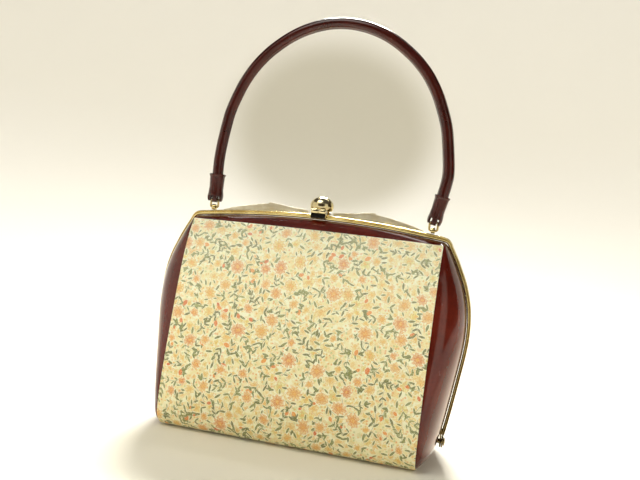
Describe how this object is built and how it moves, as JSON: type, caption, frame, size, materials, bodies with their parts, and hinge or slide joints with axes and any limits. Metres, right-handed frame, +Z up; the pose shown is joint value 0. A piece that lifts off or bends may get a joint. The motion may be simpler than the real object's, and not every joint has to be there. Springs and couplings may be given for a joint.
{
  "type": "frame handbag",
  "caption": "Hard-shell frame handbag with a patterned cloth panel wrapped round two hinged half shells, arched metal frames, a ball clasp and a stiff tube handle on rings.",
  "frame": {"origin": "centre of the flat underside of the bag, on the surface it stands on", "axes": "+Z up, +X to the bag's right as seen from the front, +Y to the back; the clasp catch is on the -Y side"},
  "size_m": [0.2694, 0.1034, 0.3535],
  "materials": {
    "floral_cloth": "ribbed brocade, small flower sprigs on cream",
    "patent_leather": "patent, glossy, dark burgundy",
    "gilt_metal": "polished pale gilt",
    "engraved_gilt": "engraved, silvery gilt",
    "stiff_board": "grey-brown fibre board",
    "lining_cloth": "brown woven lining",
    "pin_steel": "drawn steel",
    "filler_cord": "twisted cotton filler"
  },
  "bodies": {
    "base": {"bottom_panel": "floral_cloth", "lower_tub": "patent_leather", "base_board": "stiff_board", "bottom_lining": "lining_cloth", "hinge_rivet_right": "gilt_metal", "hinge_rivet_left": "gilt_metal", "gusset_right": "lining_cloth", "gusset_left": "lining_cloth"},
    "front_half": {"front_shell": "patent_leather", "front_panel": "floral_cloth", "front_board": "stiff_board", "front_lining": "lining_cloth", "front_frame": "gilt_metal", "clasp_catch": "gilt_metal"},
    "rear_half": {"rear_shell": "patent_leather", "rear_panel": "floral_cloth", "rear_board": "stiff_board", "rear_lining": "lining_cloth", "inner_pocket": "lining_cloth", "rear_frame": "gilt_metal", "crest_right": "engraved_gilt", "crest_left": "engraved_gilt", "lug_right": "gilt_metal", "lug_left": "gilt_metal", "clasp_bracket": "gilt_metal", "clasp_pin": "pin_steel", "clasp_spring": "pin_steel"},
    "clasp": {"clasp_lever": "gilt_metal", "clasp_ball": "gilt_metal"},
    "ring_left": {"ring_left": "gilt_metal"},
    "ring_right": {"ring_right": "gilt_metal"},
    "handle": {"tab_right": "patent_leather", "tab_left": "patent_leather", "handle_cover": "patent_leather", "handle_core": "filler_cord"}
  },
  "joints": [
    {"name": "front_open", "type": "hinge", "parent": "base", "child": "front_half", "pos_m": [0, 0, 0.016], "axis": [1, 0, 0], "range_deg": [0, 20], "deforming": ["gusset_left", "gusset_right"]},
    {"name": "rear_open", "type": "hinge", "parent": "base", "child": "rear_half", "pos_m": [0, 0, 0.016], "axis": [1, 0, 0], "range_deg": [-20, 0], "deforming": ["gusset_left", "gusset_right"]},
    {"name": "clasp_tip", "type": "hinge", "parent": "rear_half", "child": "clasp", "pos_m": [0, 0.0122, 0.1894], "axis": [1, 0, 0], "range_deg": [-28, 0], "stiffness_Nm_per_rad": 0.05, "springref_deg": 8.59},
    {"name": "ring_left_swing", "type": "hinge", "parent": "rear_half", "child": "ring_left", "pos_m": [-0.096, 0.0027, 0.1846], "axis": [1, 0, 0], "range_deg": [-45, 45]},
    {"name": "ring_right_swing", "type": "hinge", "parent": "rear_half", "child": "ring_right", "pos_m": [0.096, 0.0027, 0.1846], "axis": [1, 0, 0], "range_deg": [-45, 45]},
    {"name": "handle_swing", "type": "hinge", "parent": "ring_left", "child": "handle", "pos_m": [-0.096, 0.0027, 0.1916], "axis": [1, 0, 0], "range_deg": [-45, 45]}
  ],
  "couplings": [
    {"joint": "rear_open", "follows": "front_open", "ratio": -1},
    {"joint": "ring_right_swing", "follows": "ring_left_swing", "ratio": 1}
  ]
}
